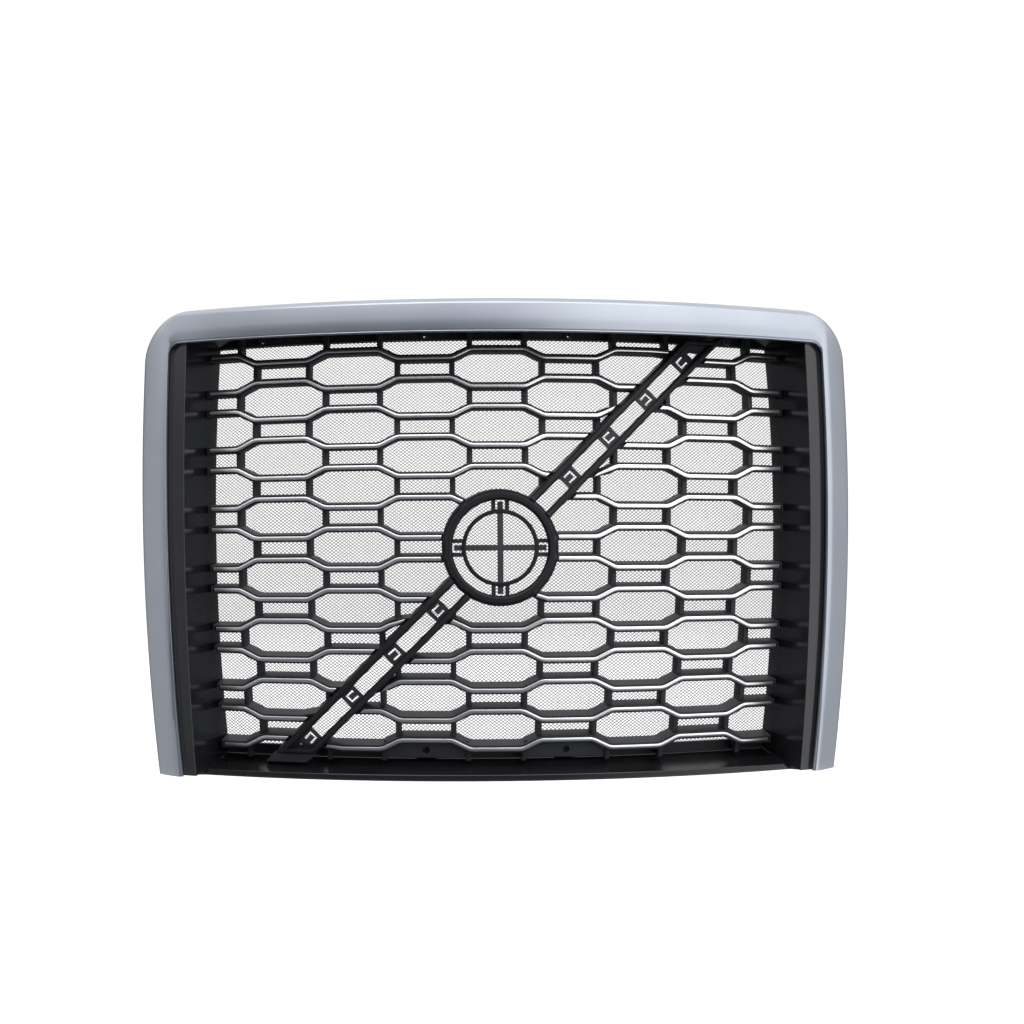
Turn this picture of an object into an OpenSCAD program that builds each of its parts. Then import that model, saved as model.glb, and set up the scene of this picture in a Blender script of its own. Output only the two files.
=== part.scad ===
// Front grille of a heavy truck: a bright surround, a moulded housing, a lattice of
// wavy bars with bright trims, a diagonal bar with a round badge base, and a bug screen.
// Millimetres. +X is the viewer's right from the front, +Y goes back, +Z is up.
// The origin is the centre of the four hood fixing holes, on the plane of the hood.

/* [Face] */
// Depth of the lattice's foremost point ahead of the fixing plane
face_depth = 220; // [200:5:260]
// Radius of the ball-shaped face that the lattice follows
face_r = 1350; // [1200:10:1600]
// Plan radius of the surround's front
bow_r = 1430; // [1300:10:1800]
// Side-view radius of the surround's front
crown_r = 2400; // [2000:50:4000]
// How far the surround's front stands ahead of the lattice
front_lead = 68; // [55:1:80]

/* [Surround] */
// Overall width at the upper corners
surround_w = 1150; // [1140:1:1160]
// Top edge above the middle of the lattice
surround_top = 385; // [380:1:390]
// Bottom ends of the legs
surround_bottom = -360; // [-364:1:-354]
// How far each leg's outer edge leans in towards the bottom
leg_lean = 27; // [15:1:35]
// Width of a leg at the top
leg_w = 49; // [40:1:60]
// Height of the top band
band_h = 55; // [45:1:65]
// Width of the sloping face outside the crease of a leg
slope_w = 39; // [34:1:42]
// Radius of the outer corners
corner_r = 85; // [60:1:100]
// Depth of the outer side wall
skirt_depth = 46; // [30:1:60]

/* [Housing] */
// Half width of the housing's mouth at the top
mouth_half_w = 498; // [490:1:505]
// Half width at the back of the side walls
throat_half_w = 468; // [460:1:472]
// Depth of the rear flange behind the lattice face
flange_depth = 44; // [44:1:48]
// Wall thickness of the mouldings
wall = 3; // [2.5:0.1:4]

/* [Lattice] */
// Number of bars
bar_count = 14; // [14:1:14]
// Spacing of the bars along the curved face
bar_pitch = 48.4; // [47:0.1:49]
// Length of half a wave on the middle row
half_wave = 114.4; // [113:0.1:116]
// Length of the ramp between two level stretches
ramp_w = 29; // [25:0.5:32]
// Rise and fall of a bar from its mean line
wave_h = 7.3; // [6:0.1:9]
// Height of a bar's front
bar_h = 12; // [10:0.5:14]
// Depth of the bars
bar_depth = 43; // [38:1:43]
// Width of the upright struts
strut_w = 10; // [8:0.5:12]
// Height of a bright trim
trim_h = 6.8; // [6:0.1:8]

/* [Badge] */
// Width of the diagonal bar
diagonal_w = 45; // [40:1:50]
// Outer radius of the badge base
badge_r = 91; // [86:1:96]

/* [Fixing] */
// Hole spacing across
fix_w = 1060; // [1056:1:1080]
// Hole spacing up and down
fix_h = 560; // [540:1:600]
// Fixing hole radius
fix_hole_r = 4.5; // [4:0.1:5.5]

/* [Hidden] */
$fn = 96;
ROWS = [for (k = [1:bar_count]) k];
TRIM_NAMES = [for (side = ["left", "right"]) for (k = ROWS) str("trim_", k < 10 ? "0" : "", k, "_", side)];

black = "#1c1d1f";
satin = "#9aa0a8";
bright = "#b9bdc4";
mesh_grey = "#c9c9c4";
zinc = "#8d9196";

SIDES = [-1, 1];
half_surround = surround_w / 2;
block = 2000;

// Depths behind the lattice face (negative stands ahead of it)
bar_front = 1;
strut_front = 9;
rail_front = 38;
groove_depth = 5.5;
trim_front = -2.5;
flange_back = flange_depth + wall;
screen_front = flange_back + 0.3;
screen_back = screen_front + 1;
strip_back = screen_back + 3;

// ---------- curved faces ----------

// Depth of the ball-shaped lattice face at (x, z), d behind it
function face_y(x, z, d) = face_r - face_depth - sqrt(pow(face_r - d, 2) - x * x - z * z);

// Depth of the surround's front at (x, z), d behind it
function front_y(x, z, d) =
    -face_depth - front_lead + bow_r - sqrt(bow_r * bow_r - x * x)
    + crown_r - sqrt(crown_r * crown_r - z * z) + d;

function on_front(p, d) = [p[0], front_y(p[0], p[1], d), p[1]];
function on_face(p, d) = [p[0], face_y(p[0], p[1], d), p[1]];

// Solid between two depths behind the lattice face
module shell(near, far) {
    translate([0, face_r - face_depth, 0])
        difference() {
            sphere(r = face_r - near, $fn = 180);
            sphere(r = face_r - far, $fn = 180);
        }
}

// A front-view outline carried through the lattice's depth range
module through() {
    translate([0, 60, 0])
        rotate([90, 0, 0])
            linear_extrude(height = face_depth + 100)
                children();
}

// The outline's stretch between two depths
module at_depth(near, far) {
    intersection() {
        shell(near, far);
        through() children();
    }
}

// A rod along +Y from a point
module rod(p, r, length) {
    translate(p)
        rotate([-90, 0, 0])
            cylinder(r = r, h = length);
}

// A screw along +Y: pan head with a hexagon socket, and a shank behind it
module screw(p, head_r, head_h, shank_r, shank) {
    socket_d = head_h * 0.6;
    difference() {
        rod(p, head_r, head_h);
        translate(p - [0, 1, 0])
            rotate([-90, 0, 0])
                cylinder(r = head_r * 0.5, h = socket_d + 1, $fn = 6);
    }
    rod(p + [0, head_h - 0.5, 0], shank_r, shank + 0.5);
}

// The same screw put in from behind, its head at p and its shank running forward
module back_screw(p, head_r, head_h, shank_r, shank) {
    translate(p)
        mirror([0, 1, 0])
            screw([0, -head_h, 0], head_r, head_h, shank_r, shank);
}

// ---------- outlines of the surround and housing ----------

// Lean of a side edge: nil above lean_top, growing as the square of the drop
lean_top = 235;
function lean(z, full) = z >= lean_top ? 0 : full * pow((lean_top - z) / (lean_top - surround_bottom), 2);

side_steps = 16;
top_steps = 18;
arc_steps = 8;

// Upper corner of an outline at share t of its length: cut is the radius of an arc,
// or the two legs of a straight chamfer
function cut_x(cut) = is_list(cut) ? cut[0] : cut;
function cut_z(cut) = is_list(cut) ? cut[1] : cut;
function corner(half_w, top, cut, t) = is_list(cut)
    ? [half_w - cut[0] * (1 - t), top - cut[1] * t]
    : [half_w - cut * (1 - sin(90 * t)), top - cut * (1 - cos(90 * t))];

// Right half of an outline, from the middle of the top to the foot of the leg
function leg_outline(half_w, full, top, cut, foot) = concat(
    [for (i = [0:top_steps]) [(half_w - cut_x(cut)) * i / top_steps, top]],
    [for (i = [1:arc_steps]) corner(half_w, top, cut, i / arc_steps)],
    [for (i = [1:side_steps]) let (z = top - cut_z(cut) + (foot - top + cut_z(cut)) * i / side_steps)
        [half_w - lean(z, full), z]]
);

// Right half of a closed outline: a leg, then the ledge at the bottom, from its corner to the
// middle. The third number is 0 on the leg and 1 on the ledge.
function loop_outline(half_w, full, top, cut, foot, ledge_w, ledge_z) = concat(
    [for (p = leg_outline(half_w, full, top, cut, foot)) [p[0], p[1], 0]],
    [for (i = [0:top_steps]) [ledge_w * (1 - i / top_steps), ledge_z, 1]]
);

function mirrored(p) = [for (i = [0:len(p) - 1]) i == 0 ? -p[0] : p[i]];
function both_legs(half) = concat([for (i = [len(half) - 1:-1:1]) mirrored(half[i])], half);
function whole_loop(half) = concat(half, [for (i = [len(half) - 2:-1:1]) mirrored(half[i])]);

// A solid swept through rings of points; each ring has the same number of points.
// An open sweep's ring pairs its first half with its second, so that quads close its ends.
module swept(rings, closed) {
    n = len(rings);
    m = len(rings[0]);
    last = closed ? n - 1 : n - 2;
    sides = [for (i = [0:last]) for (j = [0:m - 1])
        let (a = i * m + j, b = i * m + (j + 1) % m, k = ((i + 1) % n) * m)
        each [[a, k + j, b], [b, k + j, k + (j + 1) % m]]];
    pairs = closed ? [] : [for (j = [0:m / 2 - 2]) [j, j + 1, m - 2 - j, m - 1 - j]];
    far = (n - 1) * m;
    ends = [for (q = pairs) each [
        [q[0], q[1], q[3]], [q[1], q[2], q[3]],
        [far + q[3], far + q[1], far + q[0]], [far + q[3], far + q[2], far + q[1]]
    ]];
    polyhedron(points = [for (ring = rings) each ring], faces = concat(sides, ends), convexity = 8);
}

// ---------- surround ----------

crease_drop = 10;
surround_outer = both_legs(leg_outline(half_surround, leg_lean, surround_top, corner_r, surround_bottom));
surround_crease = both_legs(
    leg_outline(half_surround - slope_w, leg_lean - 3, surround_top - crease_drop, 27, surround_bottom));
surround_inner = both_legs(
    leg_outline(half_surround - leg_w, leg_lean - 4, surround_top - band_h, 18, surround_bottom));

// Section of the band through an outer, a crease and an inner point: the front from the
// outer wall's rear edge to the inner lip, then the back of the wall the other way
function mix(a, b, t) = a + (b - a) * t;
function band_ring(a, c, b) =
    let (
        width = norm(c - a),
        edge = 7 + 0.22 * width,
        in = mix(a, c, min(0.5, wall / width)),
        in_2 = mix(a, c, min(0.5, wall / width) + 0.06),
        lip = mix(b, c, min(0.4, wall / norm(c - b)))
    )
    [
        on_front(a, skirt_depth), on_front(a, edge + 3), on_front(mix(a, c, 0.06), 0.93 * edge),
        on_front(c, 0), on_front(b, 3), on_front(b, 8),
        on_front(lip, 8), on_front(lip, 5), on_front(c, 3.2),
        on_front(in_2, 0.93 * edge + 3.5), on_front(in, edge + 6), on_front(in, skirt_depth)
    ];

// Screw places round the surround
housing_lip = 9;
boss_inset = 42;
boss_points = concat(
    [for (x = [-420, -210, 0, 210, 420]) [x, surround_top - 25]],
    [for (z = [180, 0, -180]) for (side = SIDES) [side * (half_surround - boss_inset - lean(z, leg_lean)), z]]
);
boss_hole_r = 2;
boss_front = 3.6;

module surround() {
    color(satin) {
        swept([for (i = [0:len(surround_outer) - 1])
            band_ring(surround_outer[i], surround_crease[i], surround_inner[i])], false);
        for (p = boss_points)
            difference() {
                rod(on_front(p, boss_front), 5, housing_lip - 0.2 - boss_front);
                rod(on_front(p, 5), boss_hole_r, housing_lip);
            }
    }
}

module surround_screws() {
    color(zinc)
        for (p = boss_points)
            back_screw(on_front(p, housing_lip + wall + 2.2), 5, 3, boss_hole_r - 0.1, 9);
}

// ---------- housing ----------

mouth_lean = 16;
throat_lean = 17;
mouth_top = 351;
throat_top = 358;
throat_foot = -341;
flange_w = 44;
ledge_front = 50;
ledge_z = -354;
lip_h = 10;
mouth_ledge_w = mouth_half_w - 27;
throat_ledge_w = throat_half_w - throat_lean;
mouth_cut = [55, 20];
throat_cut = [55, 14];
foot = surround_bottom + 1;
outer_loop = whole_loop(loop_outline(
    half_surround - 28, leg_lean - 1, surround_top - 9, 55, foot, mouth_ledge_w + 4, ledge_z - lip_h));
mouth_loop = whole_loop(loop_outline(
    mouth_half_w, mouth_lean, mouth_top, mouth_cut, foot, mouth_ledge_w, ledge_z));
throat_loop = whole_loop(loop_outline(
    throat_half_w, throat_lean, throat_top, throat_cut, throat_foot + 1, throat_ledge_w, throat_foot));
flange_loop = whole_loop(loop_outline(
    throat_half_w + flange_w, throat_lean, throat_top + 15, 20, throat_foot - 12, throat_ledge_w + 30,
    throat_foot - 16));
mouth_back = whole_loop(loop_outline(
    mouth_half_w + wall, mouth_lean, mouth_top + wall, mouth_cut, foot, mouth_ledge_w + 2, ledge_z - wall));
throat_back = whole_loop(loop_outline(
    throat_half_w + wall, throat_lean, throat_top + wall, throat_cut, throat_foot - 1, throat_ledge_w + 2,
    throat_foot - wall));

// A point on the housing's front face, which the ledge's lip stands well behind
function on_lip(p, d) = on_front(p, d + p[2] * (ledge_front - housing_lip));

function housing_ring(i) = [
    on_lip(outer_loop[i], housing_lip),
    on_lip(mouth_loop[i], housing_lip),
    on_face(throat_loop[i], flange_back),
    on_face(flange_loop[i], flange_back),
    on_face(flange_loop[i], flange_depth),
    on_face(throat_back[i], flange_depth),
    on_lip(mouth_back[i], housing_lip + wall),
    on_lip(outer_loop[i], housing_lip + wall)
];

// Posts behind the rear flange that carry the brackets
post_inset = 14;
post_back = -14;
post_r = 11;
post_z = [for (up = SIDES) up * fix_h / 2];
function post_x(z) = throat_half_w + flange_w - post_inset - lean(z, throat_lean);

module post(side, z) {
    p = [side * post_x(z), z];
    start = face_y(post_x(z) - post_r, z, flange_depth + 1);
    difference() {
        rod([p[0], start, z], post_r, post_back - start, $fn = 32);
        rod([p[0], post_back - 20, z], 3, 21, $fn = 24);
    }
}

// Middle of half wave j at height z: half waves are longer towards the top, and the whole
// pattern leans a little to the left towards the bottom
wave_growth = 0.0084;
wave_shift = -3;
shift_growth = 0.008;
function half_wave_at(z) = half_wave + wave_growth * z;
function wave_x(j, z) = wave_shift + shift_growth * z + j * half_wave_at(z);

// Screw places of the lattice: along the top rail, and on the two bottom tabs
lattice_top = 356;
rail_h = 14;
bottom_rail_h = 18;
screw_top_z = lattice_top - rail_h / 2;
screw_bottom_z = -322;
screw_r = 2.5;
recess_r = 6;
TOP_SCREWS = [for (x = [118, 392]) for (side = SIDES) [side * x, screw_top_z]];
BOTTOM_SCREWS = [for (side = SIDES) [wave_x(side, screw_bottom_z), screw_bottom_z]];

module housing() {
    color(black)
        difference() {
            union() {
                swept([for (i = [0:len(outer_loop) - 1]) housing_ring(i)], true);
                for (side = SIDES)
                    for (z = post_z)
                        post(side, z);
            }
            for (p = boss_points)
                rod(on_front(p, 4), 2.4, 14, $fn = 24);
        }
}

// ---------- lattice ----------

half_h = bar_h / 2;
groove_h = trim_h + 0.5;
lattice_bottom = -340;

function row_z(k) = face_r * sin((bar_count / 2 + 0.5 - k) * bar_pitch / face_r * 180 / PI);
function row_sign(k, j) = (k + j) % 2 == 0 ? -1 : 1;

// Mean line of bar k: level stretches joined by ramps
waves = 4;
function wave_line(k) = [for (j = [-waves:waves]) for (end = SIDES)
    [
        wave_x(j, row_z(k)) + end * (half_wave_at(row_z(k)) - ramp_w) / 2,
        row_z(k) + row_sign(k, j) * wave_h
    ]];

// The line moved up by h, keeping the bar's height even on the ramps
function heading(a, b) = atan2(b[1] - a[1], b[0] - a[0]);
function moved(line, h) = [for (i = [0:len(line) - 1])
    let (
        before = i == 0 ? 0 : heading(line[i - 1], line[i]),
        after = i == len(line) - 1 ? 0 : heading(line[i], line[i + 1]),
        mid = (before + after) / 2,
        reach = h / cos((after - before) / 2)
    ) line[i] + reach * [-sin(mid), cos(mid)]];

module wave_strip(k, h) {
    upper = moved(wave_line(k), h);
    lower = moved(wave_line(k), -h);
    polygon(concat(upper, [for (i = [len(lower) - 1:-1:0]) lower[i]]));
}

strut_x = 44.2;
module strut(j, end, low, high) {
    polygon([for (c = [[-1, low], [1, low], [1, high], [-1, high]])
        [wave_x(j, c[1]) + end * strut_x + c[0] * strut_w / 2, c[1]]]);
}

// Struts close the low stretches of one bar onto the high stretches of the next
module struts() {
    for (j = [-waves:waves])
        for (end = SIDES) {
            for (k = [1:bar_count - 1])
                if (row_sign(k, j) < 0)
                    strut(j, end, row_z(k + 1) + wave_h, row_z(k) - wave_h);
            if (row_sign(1, j) > 0)
                strut(j, end, row_z(1) + wave_h, lattice_top - 3);
            if (row_sign(bar_count, j) < 0)
                strut(j, end, lattice_bottom, row_z(bar_count) - wave_h);
        }
}

// Screw tabs under the lowest bar, from strut to strut
tab_front = 13;
tab_foot = -334;
module tabs() {
    tab_w = 2 * (half_wave_at(tab_foot) - strut_x);
    for (p = BOTTOM_SCREWS)
        translate([p[0] - tab_w / 2, tab_foot])
            square([tab_w, row_z(bar_count) + wave_h - tab_foot]);
}

// The diagonal's outline, w wide, between two heights
diagonal_top = 339;
diagonal_foot = -329;
module diagonal_strip(w, foot, top) {
    intersection() {
        rotate(45)
            translate([-block / 2, -w / 2])
                square([block, w]);
        translate([-block / 2, foot])
            square([block, top - foot]);
    }
}

// Foot of the diagonal's channel, just above the ledge
foot_h = 14;
foot_front = -7;
foot_back = 14;
module channel_foot() {
    diagonal_strip(diagonal_w + 4, diagonal_foot - foot_h, diagonal_foot);
}

// Hoop and side walls that carry the badge base and the diagonal
hoop_wall = 8;
channel_wall = 4;
module channel_walls() {
    difference() {
        union() {
            diagonal_strip(diagonal_w, diagonal_foot, diagonal_top);
            circle(r = badge_r);
        }
        channel_room();
    }
}
module channel_room() {
    diagonal_strip(diagonal_w - 2 * channel_wall, diagonal_foot + channel_wall, diagonal_top - channel_wall);
    circle(r = badge_r - hoop_wall);
}

// Lugs inside the diagonal's channel, and a ledge inside the hoop, for their screws
rib_front = 3;
rib_back = 7;
lug_at = [147, 425];
lug_across = 12;
function along(distance) = [distance, distance] / sqrt(2);
function across(distance) = [-distance, distance] / sqrt(2);
DIAGONAL_SCREWS = [for (side = SIDES) for (d = lug_at) along(side * d) + across(lug_across)];
badge_screw_r = 79;
BADGE_SCREWS = [for (a = [0, 90, 180, 270]) badge_screw_r * [cos(a + 20), sin(a + 20)]];
module ribs() {
    for (p = DIAGONAL_SCREWS)
        translate(p)
            rotate(45)
                translate([-5, -4])
                    square([10, 12]);
    difference() {
        circle(r = badge_r - 1);
        circle(r = badge_screw_r - 5);
    }
}

// Areas where the bright trims run in their grooves
trim_gap = 3;
trim_end = 472;
trim_z = 320;
trim_lean = 0.036;
module trim_area(k, margin) {
    end_x = trim_end - trim_lean * (trim_z - row_z(k)) + margin;
    difference() {
        translate([-end_x, -block / 2])
            square([2 * end_x, block]);
        circle(r = badge_r + trim_gap - margin);
        diagonal_strip(diagonal_w + 2 * (trim_gap - margin), -block, block);
    }
}

// Room between the side walls, narrowing towards the back and the bottom
cavity_draft = 15.6;
cavity_lean = 1.5;
cavity_x = mouth_half_w - 59;
module cavity() {
    intersection_for(turn = [0, 1])
        mirror([turn, 0, 0])
            translate([cavity_x, 0, 0])
                rotate([0, cavity_lean, 0])
                    rotate([0, 0, cavity_draft])
                        translate([-block, -block / 2, -block])
                            cube([block, block, 2 * block]);
}

module lattice() {
    color(black)
        difference() {
            intersection() {
                union() {
                    difference() {
                        at_depth(bar_front, bar_depth) {
                            difference() {
                                for (k = ROWS)
                                    wave_strip(k, half_h);
                                channel_room();
                            }
                            channel_walls();
                        }
                        at_depth(-8, groove_depth)
                            for (k = ROWS)
                                intersection() {
                                    wave_strip(k, groove_h / 2);
                                    trim_area(k, 1);
                                }
                    }
                    at_depth(strut_front, bar_depth)
                        difference() {
                            struts();
                            channel_room();
                        }
                    at_depth(tab_front, flange_back)
                        difference() {
                            tabs();
                            channel_room();
                        }
                    at_depth(rail_front, flange_back)
                        difference() {
                            translate([-block / 2, lattice_top - rail_h])
                                square([block, rail_h]);
                            channel_room();
                        }
                    at_depth(rail_front, flange_back)
                        translate([-block / 2, lattice_bottom])
                            square([block, bottom_rail_h]);
                    at_depth(foot_front, foot_back)
                        channel_foot();
                    at_depth(rib_front, rib_back)
                        ribs();
                }
                cavity();
            }
            for (p = TOP_SCREWS) {
                rod(on_face(p, -20), recess_r, 22 + rail_front);
                rod(on_face(p, 0), 3, 60);
            }
            for (p = BOTTOM_SCREWS) {
                rod(on_face(p, -20), recess_r, 22 + tab_front);
                rod(on_face(p, 0), 3, 60);
            }
            for (p = concat(DIAGONAL_SCREWS, BADGE_SCREWS))
                rod(on_face(p, -20), 1.7, 35);
        }
}

module lattice_screws(points, seat) {
    color(zinc)
        for (p = points)
            screw(on_face(p, 0) + [0, seat - 1.6, 0], 5.5, 3.5, screw_r, strip_back - seat);
}

// ---------- trims ----------

module trim(k, side) {
    color(bright)
        at_depth(trim_front, groove_depth - 0.1)
            intersection() {
                wave_strip(k, trim_h / 2);
                trim_area(k, 0);
                trim_half(row_z(k), side);
            }
}

// The part of the front view left or right of the diagonal at height z
module trim_half(z, side) {
    translate([z + (side - 1) * block / 2, -block / 2])
        square([block, block]);
}

// ---------- diagonal ----------

diagonal_front = -14;
diagonal_floor = -6;
diagonal_back = 0.6;
rail_w = 6.5;
pad_l = 28;
pads_upper = [156, 245, 334, 423];
pads_lower = [138, 234, 330, 427];

// U-shaped slot that leaves a springy tongue in a clip pad, closed towards +X
slot_size = 15;
slot_w = 3.2;
module tongue_slot() {
    difference() {
        square(slot_size, center = true);
        translate([-slot_w, 0])
            square([slot_size, slot_size - 2 * slot_w], center = true);
    }
}

// Openings in the floor of a diagonal: a window between each two pads, a slot in each pad
module floor_openings(pads, turn) {
    window_w = diagonal_w - 2 * rail_w - 8;
    rotate(45 + turn)
        for (i = [0:len(pads) - 1]) {
            translate([pads[i], 0])
                rotate(i % 2 == 0 ? 0 : 180)
                    tongue_slot();
            start = i == 0 ? badge_r - 12 : pads[i - 1] + pad_l / 2;
            length = pads[i] - pad_l / 2 - start;
            translate([start, -window_w / 2])
                square([length, window_w]);
        }
}

module diagonal(pads, turn, foot, top) {
    color(black)
        difference() {
            at_depth(diagonal_front, diagonal_back)
                difference() {
                    diagonal_strip(diagonal_w, foot, top);
                    circle(r = badge_r + 0.3);
                    floor_openings(pads, turn);
                }
            at_depth(diagonal_front - 12, diagonal_floor)
                difference() {
                    diagonal_strip(
                        diagonal_w - 2 * rail_w,
                        foot == 0 ? 0 : foot + rail_w,
                        top == 0 ? 0 : top - rail_w);
                    circle(r = badge_r + rail_w);
                }
            for (p = DIAGONAL_SCREWS)
                rod(on_face(p, -4), 1.5, 12);
        }
}

module diagonal_screws() {
    color(zinc)
        for (p = DIAGONAL_SCREWS)
            back_screw(on_face(p, rib_back) + [0, 1.2, 0], 3.4, 2, 1.4, 9);
}

// ---------- badge base ----------

badge_front = -18;
badge_floor = -6;
rim_inner = 75;
hub_r = 60;
hub_inner = 53.5;
spoke_w = 9;
module badge_outline() {
    difference() {
        circle(r = badge_r);
        circle(r = rim_inner);
    }
    difference() {
        circle(r = hub_r);
        circle(r = hub_inner);
    }
    for (a = [0, 90]) {
        rotate(a)
            square([2 * hub_inner + 4, spoke_w], center = true);
    }
    for (a = [0, 90, 180, 270])
        rotate(a)
            translate([(hub_inner + rim_inner) / 2, 0])
                square([rim_inner - hub_inner + 2, pad_l], center = true);
}

module badge_base() {
    color(black)
        difference() {
            at_depth(badge_front, diagonal_back)
                difference() {
                    badge_outline();
                    for (a = [0, 90, 180, 270])
                        rotate(a)
                            translate([(hub_r + rim_inner) / 2, 0])
                                tongue_slot();
                }
            at_depth(badge_front - 12, badge_floor)
                circle(r = rim_inner);
            at_depth(badge_front - 12, badge_front + 8)
                difference() {
                    circle(r = badge_r + 5);
                    circle(r = badge_r - 5);
                }
            for (p = BADGE_SCREWS)
                rod(on_face(p, -6), 1.5, 12);
        }
}

module badge_screws() {
    color(zinc)
        for (p = BADGE_SCREWS)
            back_screw(on_face(p, rib_back) + [0, 0.4, 0], 3.4, 2, 1.4, 9);
}

// ---------- bug screen ----------

// Outline that follows the throat, grown by margin
module throat_outline(margin) {
    half = loop_outline(
        throat_half_w + margin, throat_lean, throat_top + margin, throat_cut, throat_foot - margin + 1,
        throat_ledge_w + margin, throat_foot - margin);
    polygon([for (p = whole_loop(half)) [p[0], p[1]]]);
}

screen_margin = 13;
module screw_holes(points, r) {
    for (p = points)
        translate(p)
            circle(r = r, $fn = 24);
}

module bug_screen() {
    color(mesh_grey)
        at_depth(screen_front, screen_back)
            difference() {
                throat_outline(screen_margin);
                screw_holes(concat(TOP_SCREWS, BOTTOM_SCREWS), screw_r + 1);
                screw_holes(RIVETS, rivet_r + 0.3);
            }
}

// The frame behind the screen is split into four strips. The top one reaches down behind
// the lattice's rail; the bottom one has a tongue behind each of the lattice's tabs.
strip_low = -300;
strip_high = 312;
tongue_half = 16;
module strip_hollow(side, upright) {
    difference() {
        throat_outline(wall);
        if (!upright && side > 0)
            translate([-block / 2, lattice_top - rail_h])
                square(block);
        if (!upright && side < 0)
            for (p = BOTTOM_SCREWS)
                translate([p[0] - tongue_half, throat_foot - 10])
                    square([2 * tongue_half, screw_bottom_z + 18 - throat_foot]);
    }
}

module strip_area(side, upright) {
    difference() {
        throat_outline(screen_margin);
        strip_hollow(side, upright);
        if (upright) {
            translate([side < 0 ? 0 : -block, -block / 2])
                square(block);
            translate([-block / 2, strip_high])
                square(block);
            translate([-block / 2, strip_low - block])
                square(block);
        } else {
            translate([-block / 2, side < 0 ? strip_low - 1 : strip_high + 1 - block])
                square(block);
        }
    }
}

module strip(side, upright) {
    color(black)
        at_depth(screen_back + 0.1, strip_back)
            difference() {
                strip_area(side, upright);
                screw_holes(concat(TOP_SCREWS, BOTTOM_SCREWS), screw_r - 0.4);
                screw_holes(RIVETS, rivet_r + 0.3);
            }
}

rivet_r = 2;
rivet_inset = 8;
RIVETS = concat(
    [for (x = [-400:100:400]) for (z = [throat_top + rivet_inset, throat_foot - rivet_inset]) [x, z]],
    [for (z = [-240:120:240]) for (side = SIDES)
        [side * (throat_half_w + rivet_inset - lean(z, throat_lean)), z]]
);

module screen_rivets() {
    color(zinc)
        for (p = RIVETS)
            back_screw(on_face(p, strip_back) + [0, 2.4, 0], 4, 1.6, rivet_r, 8);
}

// ---------- brackets ----------

plate_t = 3;
bracket_h = 40;
module bracket(side, z) {
    foot_x = post_x(z) - 14;
    bend_x = post_x(z) + 15;
    end_x = fix_w / 2 + 16;
    color(zinc)
        mirror([side < 0 ? 1 : 0, 0, 0])
            difference() {
                translate([0, 0, z - bracket_h / 2])
                    linear_extrude(height = bracket_h)
                        polygon([
                            [foot_x, post_back], [bend_x, post_back], [bend_x + 8, -plate_t],
                            [end_x, -plate_t], [end_x, 0], [bend_x + 6.5, 0],
                            [bend_x - 1.5, post_back + plate_t], [foot_x, post_back + plate_t]
                        ]);
                rod([post_x(z), post_back - 5, z], 3.3, 20);
                rod([fix_w / 2, -20, z], fix_hole_r, 40);
            }
}

module bracket_bolts() {
    color(zinc)
        for (side = SIDES)
            for (z = post_z)
                back_screw([side * post_x(z), post_back + plate_t + 4.1, z], 6, 4, 2.9, 16);
}

surround();
housing();
lattice();
diagonal(pads_upper, 0, 0, diagonal_top);  // diagonal_upper
diagonal(pads_lower, 180, diagonal_foot, 0);  // diagonal_lower
badge_base();
bug_screen();
strip(1, false);  // screen_strip_top
strip(-1, false);  // screen_strip_bottom
strip(-1, true);  // screen_strip_left
strip(1, true);  // screen_strip_right
bracket(-1, post_z[1]);  // bracket_upper_left
bracket(1, post_z[1]);  // bracket_upper_right
bracket(-1, post_z[0]);  // bracket_lower_left
bracket(1, post_z[0]);  // bracket_lower_right
bracket_bolts();
surround_screws();
lattice_screws(TOP_SCREWS, rail_front + 2);  // lattice_screws_top
lattice_screws(BOTTOM_SCREWS, tab_front + 2);  // lattice_screws_bottom
diagonal_screws();
badge_screws();
screen_rivets();
for (k = ROWS) {
    trim(k, -1);
    trim(k, 1);
}
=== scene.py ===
import math

import bmesh
import bpy
from mathutils import Matrix, Vector


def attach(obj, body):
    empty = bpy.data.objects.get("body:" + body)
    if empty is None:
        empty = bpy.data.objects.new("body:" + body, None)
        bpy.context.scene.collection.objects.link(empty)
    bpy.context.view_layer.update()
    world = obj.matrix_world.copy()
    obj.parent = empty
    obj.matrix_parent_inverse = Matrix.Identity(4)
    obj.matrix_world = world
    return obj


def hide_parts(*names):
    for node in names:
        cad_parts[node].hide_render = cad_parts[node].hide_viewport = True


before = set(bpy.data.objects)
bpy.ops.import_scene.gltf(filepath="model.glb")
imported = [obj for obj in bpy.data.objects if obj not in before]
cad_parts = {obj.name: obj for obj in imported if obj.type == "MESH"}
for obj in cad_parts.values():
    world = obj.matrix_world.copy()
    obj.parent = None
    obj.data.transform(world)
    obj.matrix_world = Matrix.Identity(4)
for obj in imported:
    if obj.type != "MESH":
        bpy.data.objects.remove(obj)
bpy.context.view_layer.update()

scene = bpy.context.scene
MM = 0.001

# ---------- sizes, in millimetres, as in the CAD ----------

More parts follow.
